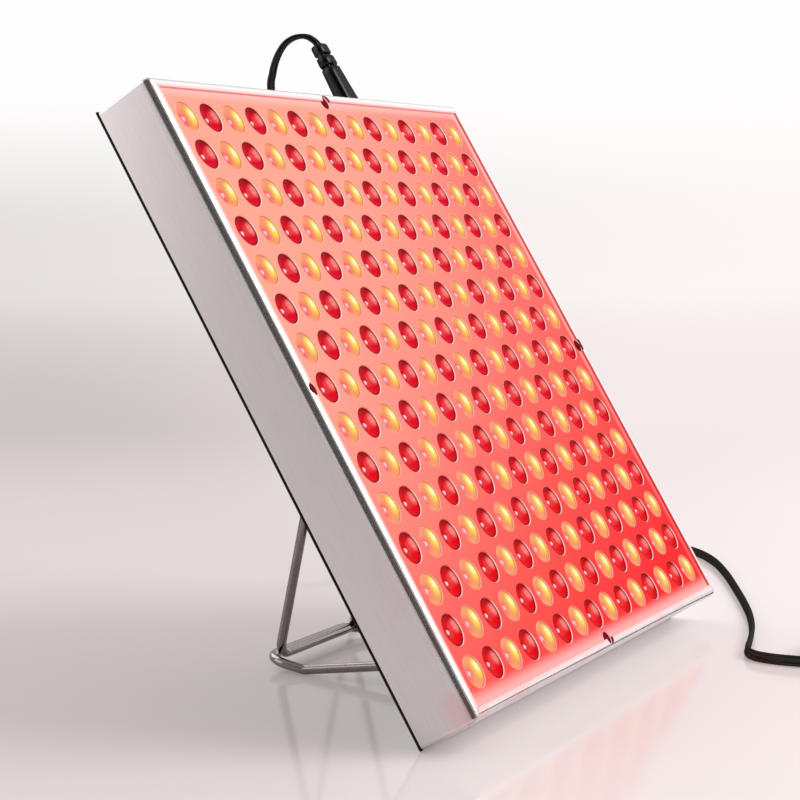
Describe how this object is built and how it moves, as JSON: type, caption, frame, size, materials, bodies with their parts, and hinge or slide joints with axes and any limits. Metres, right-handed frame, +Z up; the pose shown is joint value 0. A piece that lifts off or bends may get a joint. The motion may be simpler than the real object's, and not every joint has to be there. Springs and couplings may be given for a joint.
{
  "type": "light therapy panel",
  "caption": "Square light panel with cupped lamps in a mitred metal frame, propped on a folding two-piece wire stand, with a flat mains lead and plug.",
  "frame": {"origin": "on the table, at the middle of the box round the panel and its stand, with the lead left out", "axes": "+Z up, +X across the panel to the right of someone who looks at the lamps, +Y from the lamps' side to the back"},
  "size_m": [0.531, 0.4049, 0.3205],
  "materials": {
    "rail": "silver anodised",
    "cover": "black coated sheet",
    "plate": "white moulding lit red by its lamps",
    "board": "white lacquered metal-core board",
    "key": "zinc plated",
    "screw": "zinc plated",
    "clip": "plated sheet",
    "wire": "polished plated wire",
    "circuit": "green circuit board",
    "ferrite": "dark ferrite and winding",
    "capacitor": "shrunk sleeve",
    "standoff": "natural nylon",
    "moulding": "black moulded",
    "lead": "red insulated wire",
    "cord": "glossy black flexible cord",
    "blade": "nickel plated"
  },
  "bodies": {
    "panel": {"frame_bottom": "rail", "frame_right": "rail", "frame_top": "rail", "frame_left": "rail", "corner_key_bottom_left": "key", "corner_key_bottom_right": "key", "corner_key_top_right": "key", "corner_key_top_left": "key", "reflector_plate": "plate", "lamp_board": "board", "rear_cover": "cover", "cover_screw_1": "screw", "cover_screw_2": "screw", "cover_screw_3": "screw", "cover_screw_4": "screw", "cover_screw_5": "screw", "cover_screw_6": "screw", "cover_screw_7": "screw", "cover_screw_8": "screw", "clip_screw_1": "screw", "clip_screw_2": "screw", "clip_screw_3": "screw", "clip_screw_4": "screw", "clip_screw_5": "screw", "clip_screw_6": "screw", "clip_screw_7": "screw", "clip_screw_8": "screw", "strut_clip_left": "clip", "strut_clip_right": "clip", "loop_clip_left": "clip", "loop_clip_right": "clip", "supply_board": "circuit", "supply_post_1": "standoff", "supply_post_2": "standoff", "supply_post_3": "standoff", "supply_post_4": "standoff", "supply_transformer": "ferrite", "supply_capacitor": "capacitor", "inlet_lead": "lead", "lamp_lead": "lead", "mains_inlet": "moulding", "inlet_pin_left": "blade", "inlet_pin_right": "blade", "inlet_plug": "moulding", "cord_run": "cord", "cord_coil": "cord", "mains_plug": "moulding", "mains_blade_left": "blade", "mains_blade_right": "blade"},
    "strut": {"stand_strut": "wire"},
    "loop": {"floor_loop": "wire"}
  },
  "joints": [
    {"name": "strut_hinge", "type": "hinge", "parent": "panel", "child": "strut", "pos_m": [-0.005, 0.03303, 0.16037], "axis": [1, 0, 0], "range_deg": [-42.5, 0]},
    {"name": "loop_hinge", "type": "hinge", "parent": "panel", "child": "loop", "pos_m": [-0.005, -0.05052, 0.01565], "axis": [1, 0, 0], "range_deg": [0, 61.2]}
  ],
  "couplings": [
    {"joint": "loop_hinge", "follows": "strut_hinge", "ratio": -1.438}
  ]
}
